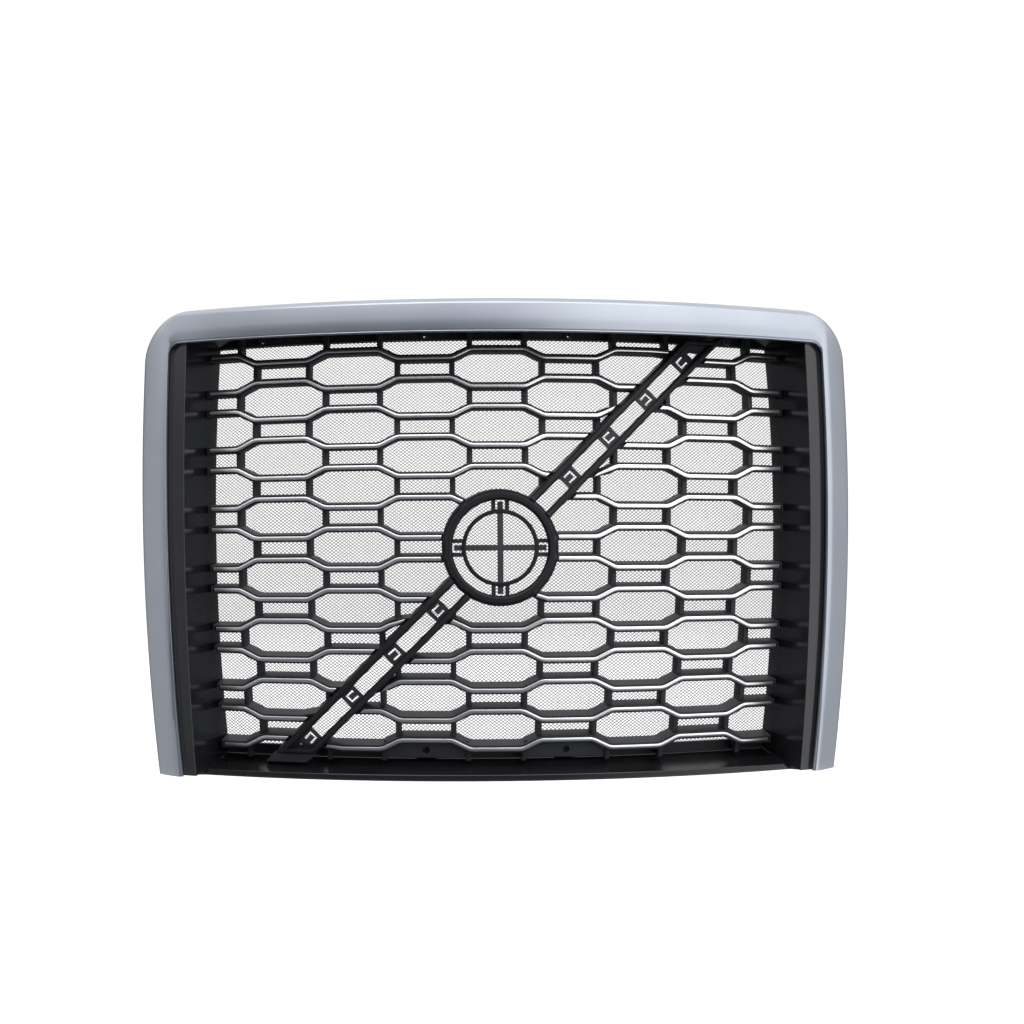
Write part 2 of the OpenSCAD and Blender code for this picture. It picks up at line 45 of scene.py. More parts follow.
FACE_DEPTH, FACE_R = 220, 1350
BOW_R, CROWN_R, FRONT_LEAD = 1430, 2400, 68
HALF_SURROUND, SURROUND_TOP, SURROUND_BOTTOM = 575, 385, -360
LEG_LEAN, LEG_W, BAND_H, CORNER_R, SKIRT = 27, 49, 55, 85, 46
SLOPE_W, CREASE_DROP, LEAN_TOP = 39, 10, 235
MOUTH_W, THROAT_W, FLANGE_DEPTH, WALL = 498, 468, 44, 3
MOUTH_LEAN, THROAT_LEAN = 16, 17
MOUTH_TOP, THROAT_TOP, THROAT_FOOT = 351, 358, -341
HOUSING_LIP, LEDGE_FRONT, LEDGE_Z, LIP_H = 9, 50, -354, 10
MOUTH_CUT, THROAT_CUT = (55, 20), (55, 14)
BAR_COUNT, BAR_PITCH, HALF_WAVE, RAMP_W, WAVE_H = 14, 48.4, 114.4, 29, 7.3
WAVE_GROWTH, WAVE_SHIFT, SHIFT_GROWTH = 0.0084, -3, 0.008
BAR_H, BAR_DEPTH, STRUT_W, STRUT_X, TRIM_H = 12, 43, 8, 44.2, 6.8
DIAGONAL_W, BADGE_R, HOOP_WALL = 45, 91, 8
FLANGE_W, BRACKET_POST_R, BRACKET_POST_END = 44, 11, -14
BOSS_INSET, BOSS_DROP = 42, 25
RAIL_FRONT, RAIL_BACK, BOTTOM_RAIL_H, BOTTOM_RAIL_W = 38, 46.5, 18, 452
FOOT_H, FOOT_FRONT, FOOT_BACK = 14, -7, 14
TAB_FRONT, TAB_BACK = 13, 24
LATTICE_TOP, LATTICE_BOTTOM, RAIL_H, TAB_FOOT = 356, -340, 14, -334
DIAGONAL_TOP, DIAGONAL_FOOT = 339, -329
PADS_UPPER, PADS_LOWER = (156, 245, 334, 423), (138, 234, 330, 427)
LUG_AT = (147, 425)
SCREEN_DEPTH = 47.8
DRAW_RISE = 0.085


def face_y(x, z, d=0.0):
    """Depth of the lattice's ball-shaped face at (x, z), d behind it."""
    return FACE_R - FACE_DEPTH - math.sqrt((FACE_R - d) ** 2 - x * x - z * z)


def front_y(x, z, d=0.0):
    """Depth of the surround's front at (x, z), d behind it."""
    return (-FACE_DEPTH - FRONT_LEAD + BOW_R - math.sqrt(BOW_R**2 - x * x)
            + CROWN_R - math.sqrt(CROWN_R**2 - z * z) + d)


def on_face(x, z, d=0.0):
    return (x, face_y(x, z, d), z)


def on_front(x, z, d=0.0):
    return (x, front_y(x, z, d), z)


def lean(z, full):
    """How far a side edge leans in at height z: nil above LEAN_TOP, full at the surround's foot."""
    if z >= LEAN_TOP:
        return 0.0
    return full * ((LEAN_TOP - z) / (LEAN_TOP - SURROUND_BOTTOM)) ** 2


# ---------- materials ----------


def tree(name):
    material = bpy.data.materials.new(name)
    material.use_nodes = True
    nodes = material.node_tree
    return material, nodes, nodes.nodes["Principled BSDF"]


def add_noise(nodes, scale, detail, stretch=(1, 1, 1)):
    coords = nodes.nodes.new("ShaderNodeTexCoord")
    mapping = nodes.nodes.new("ShaderNodeMapping")
    mapping.inputs["Scale"].default_value = stretch
    noise = nodes.nodes.new("ShaderNodeTexNoise")
    noise.inputs["Scale"].default_value = scale
    noise.inputs["Detail"].default_value = detail
    nodes.links.new(coords.outputs["Object"], mapping.inputs["Vector"])
    nodes.links.new(mapping.outputs["Vector"], noise.inputs["Vector"])
    return noise


def add_ramp(nodes, source, low, high, start=0.3, end=0.7):
    ramp = nodes.nodes.new("ShaderNodeValToRGB")
    ramp.color_ramp.elements[0].position = start
    ramp.color_ramp.elements[1].position = end
    for element, value in zip(ramp.color_ramp.elements, (low, high)):
        if not hasattr(value, "__len__"):
            value = (value,) * 3
        element.color = (*value, 1)
    nodes.links.new(source, ramp.inputs["Fac"])
    return ramp.outputs["Color"]


def surface(name, dark, light, rough, metallic=0.0, grain=400, grain_depth=0.02, patch=9,
            stretch=(1, 1, 1), coat=0.0, edge_highlight=None, shine=0.5):
    """A Principled surface with patchy colour, patchy roughness, fine grain and a painted highlight on sharp
    edges.
    """
    material, nodes, shader = tree(name)
    links = nodes.links
    broad = add_noise(nodes, patch, 4)
    fine = add_noise(nodes, grain, 3, stretch)
    colour = add_ramp(nodes, broad.outputs["Fac"], dark, light)
    # Sharp outward edges (high pointiness) take a lighter colour: a painted highlight along the edges.
    if edge_highlight:
        geometry = nodes.nodes.new("ShaderNodeNewGeometry")
        edge = add_ramp(nodes, geometry.outputs["Pointiness"], 0.0, 1.0, 0.52, 0.62)
        mix = nodes.nodes.new("ShaderNodeMixRGB")
        mix.inputs["Color2"].default_value = (*edge_highlight, 1)
        links.new(edge, mix.inputs["Fac"])
        links.new(colour, mix.inputs["Color1"])
        colour = mix.outputs["Color"]
    links.new(colour, shader.inputs["Base Color"])
    links.new(add_ramp(nodes, fine.outputs["Fac"], rough[0], rough[1]), shader.inputs["Roughness"])
    bump = nodes.nodes.new("ShaderNodeBump")
    bump.inputs["Strength"].default_value = grain_depth
    bump.inputs["Distance"].default_value = 0.0004
    links.new(fine.outputs["Fac"], bump.inputs["Height"])
    links.new(bump.outputs["Normal"], shader.inputs["Normal"])
    shader.inputs["Metallic"].default_value = metallic
    shader.inputs["Specular IOR Level"].default_value = shine
    if coat:
        shader.inputs["Coat Weight"].default_value = coat
        shader.inputs["Coat Roughness"].default_value = 0.12
    return material


# The lighter colour that each material takes on its sharp edges is a painted edge highlight.
SATIN = surface("satin_silver", (0.37, 0.40, 0.455), (0.405, 0.435, 0.49), (0.30, 0.36), 0.85, 900, 0.02,
                coat=0.25, edge_highlight=(0.58, 0.61, 0.66))
BLACK = surface("moulded_black", (0.012, 0.0125, 0.015), (0.017, 0.0178, 0.021), (0.36, 0.44), 0.0, 700, 0.03,
                edge_highlight=(0.05, 0.052, 0.058), shine=0.18)
GLOSSY = surface("housing_black", (0.010, 0.0104, 0.012), (0.014, 0.0146, 0.017), (0.17, 0.22),
                 0.0, 600, 0.003, edge_highlight=(0.05, 0.052, 0.058), shine=0.5)
TRIM = surface("satin_bright", (0.80, 0.81, 0.84), (0.84, 0.85, 0.875), (0.28, 0.33), 1.0, 500, 0.002,
               stretch=(0.15, 1, 1), edge_highlight=(0.88, 0.89, 0.90))
MESH = surface("expanded_metal", (0.40, 0.40, 0.39), (0.50, 0.50, 0.49), (0.42, 0.55), 0.3, 300, 0.10,
               edge_highlight=(0.60, 0.60, 0.59))
STRIP = surface("strip_black", (0.025, 0.025, 0.027), (0.04, 0.04, 0.042), (0.55, 0.66), 0.0, 400, 0.12)
ZINC = surface("zinc_plate", (0.42, 0.44, 0.46), (0.58, 0.59, 0.60), (0.30, 0.48), 1.0, 200, 0.08,
               edge_highlight=(0.72, 0.73, 0.74))
ALLOY = surface("rivet_alloy", (0.60, 0.60, 0.61), (0.72, 0.72, 0.73), (0.28, 0.40), 1.0, 300, 0.05)
SCREW = surface("black_screw", (0.015, 0.015, 0.017), (0.03, 0.03, 0.033), (0.28, 0.40), 0.4, 500, 0.05,
                edge_highlight=(0.12, 0.12, 0.125))

# ---------- mesh building ----------


def finish_piece(name, mesh, material, nodes, sharp=35):
    mesh.materials.append(material)
    for polygon in mesh.polygons:
        polygon.use_smooth = True
    mesh.set_sharp_from_angle(angle=math.radians(sharp))
    piece = bpy.data.objects.new(name, mesh)
    scene.collection.objects.link(piece)
    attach(piece, "root")
    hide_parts(*nodes)
    return piece


class Shape:
    """Collects points in millimetres and faces, and becomes one mesh."""

    def __init__(self):
        self.points, self.faces = [], []

    def add(self, points, faces):
        start = len(self.points)
        self.points += points
        self.faces += [[i + start for i in face] for face in faces]

    def sweep(self, rings, closed_path=False, caps=True, closed_ring=True):
        n, m = len(rings), len(rings[0])
        points = [p for ring in rings for p in ring]
        faces = []
        for i in range(n if closed_path else n - 1):
            k = (i + 1) % n
            for j in range(m if closed_ring else m - 1):
                l = (j + 1) % m
                faces.append([i * m + j, i * m + l, k * m + l, k * m + j])
        if caps and not closed_path:
            faces.append(list(range(m))[::-1])
            faces.append([(n - 1) * m + j for j in range(m)])
        self.add(points, faces)

    def prism(self, outline, place, near, far, holes=()):
        """A front-view outline with holes, from one depth to another, placed by place(x, z, depth)."""
        loops = [outline, *holes]
        flat = bmesh.new()
        edges = []
        for loop in loops:
            ring = [flat.verts.new((p[0], 0, p[1])) for p in loop]
            edges += [flat.edges.new((ring[i], ring[(i + 1) % len(ring)])) for i in range(len(ring))]
        bmesh.ops.triangle_fill(flat, use_beauty=True, use_dissolve=False, edges=edges, normal=(0, -1, 0))
        flat.verts.index_update()
        corners = [(v.co.x, v.co.z) for v in flat.verts]
        count = len(corners)
        faces = []
        for face in flat.faces:
            ids = [v.index for v in face.verts]
            if face.normal.y > 0:
                ids.reverse()
            faces.append(ids)
            faces.append([i + count for i in reversed(ids)])
        flat.free()
        start = 0
        for loop in loops:
            n = len(loop)
            for i in range(n):
                a, b = start + i, start + (i + 1) % n
                faces.append([a, b, b + count, a + count])
            start += n
        self.add([place(x, z, near) for x, z in corners] + [place(x, z, far) for x, z in corners], faces)

    def mesh(self, name):
        mesh = bpy.data.meshes.new(name)
        mesh.from_pydata([(p[0] * MM, p[1] * MM, p[2] * MM) for p in self.points], [], self.faces)
        work = bmesh.new()
        work.from_mesh(mesh)
        bmesh.ops.remove_doubles(work, verts=work.verts, dist=1e-6)
        bmesh.ops.recalc_face_normals(work, faces=work.faces)
        work.to_mesh(mesh)
        work.free()
        return mesh


def circle(r, count=96, centre=(0, 0)):
    return [(centre[0] + r * math.cos(2 * math.pi * i / count),
             centre[1] + r * math.sin(2 * math.pi * i / count)) for i in range(count)]


def turned(points, degrees):
    c, s = math.cos(math.radians(degrees)), math.sin(math.radians(degrees))
    return [(c * x - s * z, s * x + c * z) for x, z in points]


def moved(points, x, z):
    return [(p[0] + x, p[1] + z) for p in points]


def box_outline(x0, z0, x1, z1):
    return [(x0, z0), (x1, z0), (x1, z1), (x0, z1)]


# ---------- outlines of the surround and housing ----------

SIDE_STEPS, TOP_STEPS, ARC_STEPS = 40, 40, 16


def corner(half_w, top, cut, t):
    """Upper corner at share t of its length: an arc of radius cut, or a straight chamfer (across, down)."""
    if isinstance(cut, tuple):
        return half_w - cut[0] * (1 - t), top - cut[1] * t
    a = math.pi / 2 * t
    return half_w - cut * (1 - math.sin(a)), top - cut * (1 - math.cos(a))


def leg_outline(half_w, full, top, cut, foot):
    across, down = cut if isinstance(cut, tuple) else (cut, cut)
    out = [((half_w - across) * i / TOP_STEPS, top) for i in range(TOP_STEPS + 1)]
    out += [corner(half_w, top, cut, i / ARC_STEPS) for i in range(1, ARC_STEPS + 1)]
    for i in range(1, SIDE_STEPS + 1):
        z = top - down + (foot - top + down) * i / SIDE_STEPS
        out.append((half_w - lean(z, full), z))
    return out


def loop_outline(half_w, full, top, cut, foot, ledge_w, ledge_z):
    """Right half of a closed outline: the leg (third number 0), then the ledge's edge (1)."""
    out = [(x, z, 0) for x, z in leg_outline(half_w, full, top, cut, foot)]
    return out + [(ledge_w * (1 - i / TOP_STEPS), ledge_z, 1) for i in range(TOP_STEPS + 1)]


def both_legs(half):
    return [(-x, z) for x, z in half[:0:-1]] + half


def whole_loop(half):
    return half + [(-x, z, on_ledge) for x, z, on_ledge in half[-2:0:-1]]


# ---------- surround ----------

# The crease runs near the top edge along the band and near the inner edge down each leg.
OUTER = both_legs(leg_outline(HALF_SURROUND, LEG_LEAN, SURROUND_TOP, CORNER_R, SURROUND_BOTTOM))
CREASE = both_legs(leg_outline(HALF_SURROUND - SLOPE_W, LEG_LEAN - 3, SURROUND_TOP - CREASE_DROP, 27,
                               SURROUND_BOTTOM))
INNER = both_legs(leg_outline(HALF_SURROUND - LEG_W, LEG_LEAN - 4, SURROUND_TOP - BAND_H, 18,
                              SURROUND_BOTTOM))


def between(a, b, t):
    return (a[0] + (b[0] - a[0]) * t, a[1] + (b[1] - a[1]) * t)


# The inner edge: distance from the edge, and depth; a fine groove runs beside a rounded lip
GROOVE = ((5.2, 0.35), (4.3, 0.7), (3.7, 1.8), (3.0, 2.3), (2.4, 2.0), (2.0, 1.1), (1.4, 0.85), (0.7, 1.2),
          (0.2, 2.2), (0, 3.4), (0, 8))


def surround_ring(outer, crease, inner):
    width = math.hypot(crease[0] - outer[0], crease[1] - outer[1])
    edge_depth = 7 + 0.22 * width
    ring = [on_front(*outer, SKIRT), on_front(*outer, edge_depth + 7)]
    for step, drop in ((0.01, 3.6), (0.03, 1.4), (0.07, 0.2)):
        p = between(outer, crease, step)
        ring.append(on_front(*p, edge_depth * (1 - step) ** 1.35 + drop))
    for step in (0.15, 0.3, 0.45, 0.6, 0.75, 0.88):
        p = between(outer, crease, step)
        ring.append(on_front(*p, edge_depth * (1 - step) ** 1.35))
    ring.append(on_front(*between(outer, crease, 0.96), 0.32))
    face = math.hypot(crease[0] - inner[0], crease[1] - inner[1])
    ring.append(on_front(*between(crease, inner, min(0.1, 1.2 / face)), 0.05))
    ring.append(on_front(*between(crease, inner, 0.5), 0.2))
    for away, depth in GROOVE:
        ring.append(on_front(*between(inner, crease, away / face), depth))
    back = between(inner, crease, min(0.4, 3 / face))
    ring.append(on_front(*back, 8))
    ring.append(on_front(*back, 4.6))
    ring.append(on_front(*between(outer, crease, 0.8), 3.6))
    ring.append(on_front(*between(outer, crease, 0.3), edge_depth + 1.5))
    ring.append(on_front(*between(outer, crease, min(0.5, 3 / width)), edge_depth + 6))
    ring.append(on_front(*between(outer, crease, min(0.5, 3 / width)), SKIRT))
    return ring


shape = Shape()
shape.sweep([surround_ring(a, b, c) for a, b, c in zip(OUTER, CREASE, INNER)])
BOSSES = [(x, SURROUND_TOP - BOSS_DROP) for x in (-420, -210, 0, 210, 420)]
BOSSES += [(s * (HALF_SURROUND - BOSS_INSET - lean(z, LEG_LEAN)), z) for z in (180, 0, -180) for s in (-1, 1)]


def flat_place(x0, z0, y0):
    """Places a flat prism ahead of or behind one depth, straight along Y."""
    return lambda x, z, d: (x0 + x, y0 + d, z0 + z)


for x, z in BOSSES:
    shape.prism(circle(5, 24), flat_place(x, z, front_y(x, z)), 3.8, 8.8, [circle(2, 24)])
finish_piece("surround", shape.mesh("surround"), SATIN, ["surround"], sharp=28)

# ---------- housing ----------


def housing_loops():
    def loop(*sizes):
        return whole_loop(loop_outline(*sizes))

    foot, ledge_w, throat_w = SURROUND_BOTTOM + 1, MOUTH_W - 27, THROAT_W - THROAT_LEAN
    outer = loop(HALF_SURROUND - 28, LEG_LEAN - 1, SURROUND_TOP - 9, 55, foot, ledge_w + 4, LEDGE_Z - LIP_H)
    mouth = loop(MOUTH_W, MOUTH_LEAN, MOUTH_TOP, MOUTH_CUT, foot, ledge_w, LEDGE_Z)
    throat = loop(THROAT_W, THROAT_LEAN, THROAT_TOP, THROAT_CUT, THROAT_FOOT + 1, throat_w, THROAT_FOOT)
    flange = loop(THROAT_W + FLANGE_W, THROAT_LEAN, THROAT_TOP + 15, 20, THROAT_FOOT - 12, throat_w + 30,
                  THROAT_FOOT - 16)
    mouth_back = loop(MOUTH_W + WALL, MOUTH_LEAN, MOUTH_TOP + WALL, MOUTH_CUT, foot, ledge_w + 2,
                      LEDGE_Z - WALL)
    throat_back = loop(THROAT_W + WALL, THROAT_LEAN, THROAT_TOP + WALL, THROAT_CUT, THROAT_FOOT - 1,
                       throat_w + 2, THROAT_FOOT - WALL)
    return outer, mouth, throat, flange, mouth_back, throat_back


def on_lip(p, d):
    """A point on the housing's front face; the ledge's lip stands well behind the legs."""
    return on_front(p[0], p[1], d + p[2] * (LEDGE_FRONT - HOUSING_LIP))


def line_3d(a, b, t):
    return tuple(a[i] + (b[i] - a[i]) * t for i in range(3))


shape = Shape()
rings = []
for o, m, t, f, mb, tb in zip(*housing_loops()):
    lip, front = on_lip(o, HOUSING_LIP), on_lip(m, HOUSING_LIP)
    throat_end = on_face(*t[:2], FLANGE_DEPTH + WALL)
    across = math.dist(lip, front)
    down = math.dist(front, throat_end)
    ring = [lip, line_3d(lip, front, 0.35), line_3d(lip, front, 0.7), line_3d(front, lip, 2.0 / across)]
    near, far = line_3d(front, lip, 0.7 / across), line_3d(front, throat_end, 0.7 / down)
    ring += [near, line_3d(near, far, 0.5), far]
    ring += [line_3d(front, throat_end, s) for s in (2.0 / down, 0.25, 0.5, 0.75)]
    ring += [throat_end, on_face(*f[:2], FLANGE_DEPTH + WALL), on_face(*f[:2], FLANGE_DEPTH),
             on_face(*tb[:2], FLANGE_DEPTH), on_lip(mb, HOUSING_LIP + WALL), on_lip(o, HOUSING_LIP + WALL)]
    rings.append(ring)
shape.sweep(rings, closed_path=True)
POSTS = [(s * (THROAT_W + FLANGE_W - 14 - lean(z, THROAT_LEAN)), z) for s in (-1, 1) for z in (-280, 280)]
for x, z in POSTS:
    start = face_y(abs(x) - BRACKET_POST_R, z, FLANGE_DEPTH + 1)
    shape.prism(circle(BRACKET_POST_R, 32), flat_place(x, z, 0), start, BRACKET_POST_END, [circle(3, 32)])
finish_piece("housing", shape.mesh("housing"), GLOSSY, ["housing"], sharp=25)

# ---------- lattice ----------


def row_z(k):
    return FACE_R * math.sin((BAR_COUNT / 2 + 0.5 - k) * BAR_PITCH / FACE_R)


def row_sign(k, j):
    return -1 if (k + j) % 2 == 0 else 1


def half_wave_at(z):
    return HALF_WAVE + WAVE_GROWTH * z


def wave_x(j, z):
    """Middle of half wave j at height z."""
    return WAVE_SHIFT + SHIFT_GROWTH * z + j * half_wave_at(z)


BEND_R = 26.0


def wave_path(k, x_from, x_to):
    """Centre line of bar k as (x, z, heading), with rounded bends: the stretch asked for, and all of it."""
    corners = []
    for j in range(-4, 5):
        for end in (-1, 1):
            level = half_wave_at(row_z(k)) - RAMP_W
            corners.append((wave_x(j, row_z(k)) + end * level / 2, row_z(k) + row_sign(k, j) * WAVE_H))
    points = [corners[0]]
    for a, b, c in zip(corners, corners[1:], corners[2:]):
        h0 = math.atan2(b[1] - a[1], b[0] - a[0])
        h1 = math.atan2(c[1] - b[1], c[0] - b[0])
        reach = BEND_R * math.tan(abs(h1 - h0) / 2)
        for i in range(7):
            t = i / 6
            p0 = (b[0] - reach * math.cos(h0), b[1] - reach * math.sin(h0))
            p1 = (b[0] + reach * math.cos(h1), b[1] + reach * math.sin(h1))
            points.append(((1 - t) ** 2 * p0[0] + 2 * t * (1 - t) * b[0] + t * t * p1[0],
                           (1 - t) ** 2 * p0[1] + 2 * t * (1 - t) * b[1] + t * t * p1[1]))
    points.append(corners[-1])
    out = []
    for i, (x, z) in enumerate(points):
        a, b = points[max(i - 1, 0)], points[min(i + 1, len(points) - 1)]
        out.append((x, z, math.atan2(b[1] - a[1], b[0] - a[0])))
    # Fill in the level stretches and ramps so that the line follows the curved face
    dense = []
    for (x0, z0, h0), (x1, z1, h1) in zip(out, out[1:]):
        count = max(1, math.ceil((x1 - x0) / 12))
        for i in range(count):
            t = i / count
            dense.append((x0 + (x1 - x0) * t, z0 + (z1 - z0) * t, h0 + (h1 - h0) * t))
    dense.append(out[-1])
    return [p for p in dense if x_from < p[0] < x_to], dense


def z_at(dense, x):
    for (x0, z0, h0), (x1, z1, h1) in zip(dense, dense[1:]):
        if x0 <= x <= x1:
            t = (x - x0) / (x1 - x0)
            return z0 + (z1 - z0) * t, h0 + (h1 - h0) * t
    return dense[-1][1], 0.0


BAR_END_X, BAR_END_LEAN, BAR_LEAN_TOP = 478, 0.04, 274


def bar_end(z):
    return BAR_END_X - BAR_END_LEAN * max(0, BAR_LEAN_TOP - z)


class Edge:
    """Where a bar stops: at the side wall, the diagonal or the badge hoop."""

    def __init__(self, kind, side, gap=0.0):
        self.kind, self.side, self.gap = kind, side, gap

    def x(self, z):
        if self.kind == "wall":
            return self.side * (bar_end(z) - self.gap)
        reach = DIAGONAL_W / 2 - 2 + self.gap
        r = BADGE_R - 4 + self.gap
        x = z + self.side * reach * math.sqrt(2)
        if abs(z) < r:
            hoop = self.side * math.sqrt(r * r - z * z)
            x = max(x, hoop) if self.side > 0 else min(x, hoop)
        return x


def bar_rings(k, section, left, right, rise):
    """Rings of a bar's section (h across, d deep) from one edge to the other."""
    centre_z = row_z(k)
    inner, dense = wave_path(k, left.x(centre_z) + 14, right.x(centre_z) - 14)
    rings = []
    for x, z, heading in inner:
        c, s = math.cos(heading), math.sin(heading)
        rings.append([place_bar(x - h * s, z + h * c, d, rise) for h, d in section])
    for edge, at_start in ((left, True), (right, False)):
        ring = []
        for h, d in section:
            x = edge.x(centre_z)
            for _ in range(8):
                z, heading = z_at(dense, x)
                x = edge.x(z + h * math.cos(heading))
            z, heading = z_at(dense, x)
            ring.append(place_bar(x, z + h / math.cos(heading), d, rise))
        rings.insert(0, ring) if at_start else rings.append(ring)
    return rings


def place_bar(x, z, d, rise=DRAW_RISE):
    return (x, face_y(x, z, d), z + rise * max(d - 1, 0))


H = BAR_H / 2
G = TRIM_H / 2 + 0.25
CARRIER = [(G, 5.5), (G, 1.5), (G + 0.4, 1.0), (H - 0.9, 1.0), (H - 0.2, 1.4), (H, 2.2),
           (H + 0.4, BAR_DEPTH), (-H - 0.4, BAR_DEPTH), (-H, 2.2), (-H + 0.2, 1.4), (-H + 0.9, 1.0),
           (-G - 0.4, 1.0), (-G, 1.5), (-G, 5.5)]
T = TRIM_H / 2
BULGE = [(-T, 5.0), (-T, -0.5), (-T + 0.12, -1.1), (-T + 0.4, -1.6), (-T + 0.9, -1.96), (-T + 1.7, -2.22),
         (-0.8, -2.43), (0, -2.5), (0.8, -2.43), (T - 1.7, -2.22), (T - 0.9, -1.96), (T - 0.4, -1.6),
         (T - 0.12, -1.1), (T, -0.5), (T, 5.0)]

lattice = Shape()
for k in range(1, BAR_COUNT + 1):
    for side in (-1, 1):
        wall, middle = Edge("wall", side), Edge("middle", side)
        ends = (wall, middle) if side < 0 else (middle, wall)
        lattice.sweep(bar_rings(k, CARRIER, *ends, DRAW_RISE))
        plug = Edge("wall", side, 2.2)
        block = [(G + 0.1, 5.6), (G + 0.1, 1.3), (-G - 0.1, 1.3), (-G - 0.1, 5.6)]
        z, _ = z_at(wave_path(k, 0, 1)[1], wall.x(row_z(k)))
        near = [place_bar(plug.x(z), z + h, d) for h, d in block]
        far = [place_bar(wall.x(z), z + h, d) for h, d in block]
        lattice.sweep([near, far])
        trim = Shape()
        trim_wall, trim_middle = Edge("wall", side, 5.5), Edge("middle", side, 6.5)
        ends = (trim_wall, trim_middle) if side < 0 else (trim_middle, trim_wall)
        trim.sweep(bar_rings(k, BULGE, *ends, 0.0))
        name = "trim_%02d_%s" % (k, "left" if side < 0 else "right")
        finish_piece(name, trim.mesh(name), TRIM, [name], sharp=50)


def strut(x_at, low, high, near, far=BAR_DEPTH, width=STRUT_W):
    """An upright rib along x_at(z), slightly wider at its back."""
    half = width / 2
    outline = [(-half + 1.0, 0), (-half + 0.3, 0.3), (-half, 1.2), (-half - 0.7, far - near),
               (half + 0.7, far - near), (half, 1.2), (half - 0.3, 0.3), (half - 1.0, 0)]
    rings = []
    for z in (low, (low + high) / 2, high):
        rings.append([place_bar(x_at(z) + dx, z, near + d) for dx, d in outline])
    lattice.sweep(rings)


def clear_of_middle(x, low, high):
    """The stretches of an upright at x that lie outside the badge hoop and the diagonal."""
    spans = [(low, high)]
    half = (DIAGONAL_W / 2 - 2) * math.sqrt(2)
    r = BADGE_R - 4
    blocks = [(x - half, x + half)]
    if abs(x) < r:
        blocks.append((-math.sqrt(r * r - x * x), math.sqrt(r * r - x * x)))
    for b0, b1 in blocks:
        cut = []
        for s0, s1 in spans:
            if b1 <= s0 or b0 >= s1:
                cut.append((s0, s1))
                continue
            if b0 > s0:
                cut.append((s0, b0))
            if b1 < s1:
                cut.append((b1, s1))
        spans = cut
    return [s for s in spans if s[1] - s[0] > 2]


for j in range(-4, 5):
    for end in (-1, 1):
        def strut_line(z, j=j, end=end):
            return wave_x(j, z) + end * STRUT_X

        if abs(strut_line(0)) > 470:
            continue
        spans = [(row_z(k + 1) + WAVE_H + 2, row_z(k) - WAVE_H - 2)
                 for k in range(1, BAR_COUNT) if row_sign(k, j) < 0]
        if row_sign(1, j) > 0:
            spans.append((row_z(1) + WAVE_H + 2, LATTICE_TOP - 4))
        if row_sign(BAR_COUNT, j) < 0:
            spans.append((LATTICE_BOTTOM, row_z(BAR_COUNT) - WAVE_H - 2))
        for low, high in spans:
            for a, b in clear_of_middle(strut_line((low + high) / 2), low, high):
                strut(strut_line, a, b, 9)


def dense_outline(points, step=12):
    """Adds points along long edges, so that a flat outline can follow the curved face."""
    out = []
    for a, b in zip(points, points[1:] + points[:1]):
        count = max(1, math.ceil(math.dist(a, b) / step))
        out += [(a[0] + (b[0] - a[0]) * i / count, a[1] + (b[1] - a[1]) * i / count) for i in range(count)]
    return out


RECESS_R, TAB_RECESS_R, TOP_HEAD_R, BOTTOM_HEAD_R, BOTTOM_SEAT = 6.6, 5.6, 8.4, 5.2, 22
# Top rail, in two lengths either side of the diagonal's end, with a recess round each screw
SCREW_TOP_Z, SCREW_BOTTOM_Z = LATTICE_TOP - RAIL_H / 2, -322
TOP_SCREWS = [(s * x, SCREW_TOP_Z) for x in (118, 392) for s in (-1, 1)]
BOTTOM_SCREWS = [(wave_x(s, SCREW_BOTTOM_Z), SCREW_BOTTOM_Z) for s in (-1, 1)]
rail_low = LATTICE_TOP - RAIL_H
slant = (DIAGONAL_W / 2 - 2) * math.sqrt(2)
for x0a, x0b, x1a, x1b, screws in (
    (-469, -469, rail_low - slant, LATTICE_TOP - slant, [p for p in TOP_SCREWS if p[0] < 300]),
    (rail_low + slant, LATTICE_TOP + slant, 469, 469, [p for p in TOP_SCREWS if p[0] > 300]),
):
    outline = dense_outline([(x0a, rail_low), (x1a, rail_low), (x1b, LATTICE_TOP), (x0b, LATTICE_TOP)])
    lattice.prism(outline, on_face, RAIL_FRONT, RAIL_BACK, [circle(RECESS_R, 32, p) for p in screws])
tab_half = half_wave_at(TAB_FOOT) - STRUT_X
for x, z in BOTTOM_SCREWS:
    tab = box_outline(-tab_half, TAB_FOOT - z, tab_half, row_z(BAR_COUNT) + WAVE_H - 2 - z)
    lattice.prism(dense_outline(moved(tab, x, z)), on_face, TAB_FRONT, TAB_BACK,
                  [circle(TAB_RECESS_R, 32, (x, z))])

# Bottom rail behind the tabs, and the foot of the diagonal's channel
bottom_rail = box_outline(-BOTTOM_RAIL_W, LATTICE_BOTTOM, BOTTOM_RAIL_W, LATTICE_BOTTOM + BOTTOM_RAIL_H)
lattice.prism(dense_outline(bottom_rail), on_face, RAIL_FRONT, RAIL_BACK)
foot_low = DIAGONAL_FOOT - FOOT_H
foot = [(DIAGONAL_FOOT - 34.5, DIAGONAL_FOOT), (foot_low - 34.5, foot_low), (foot_low + 31, foot_low),
        (foot_low + 37, foot_low + 4), (DIAGONAL_FOOT + 34.5, DIAGONAL_FOOT)]
lattice.prism(dense_outline(foot), on_face, FOOT_FRONT, FOOT_BACK)

# Hoop and side walls that carry the badge base and the diagonal
hoop_rings = []
for i in range(144):
    a = 2 * math.pi * i / 144
    c, s = math.cos(a), math.sin(a)
    hoop_rings.append([place_bar(r * c, r * s, d) for r, d in
                       ((BADGE_R - HOOP_WALL, 2), (BADGE_R - 1, 1), (BADGE_R, 2), (BADGE_R + 0.4, BAR_DEPTH),
                        (BADGE_R - HOOP_WALL, BAR_DEPTH))])
lattice.sweep(hoop_rings, closed_path=True)


def along(distance, across):
    """A point so far along the diagonal and so far to its upper left."""
    q = math.sqrt(0.5)
    return (q * (distance - across), q * (distance + across))


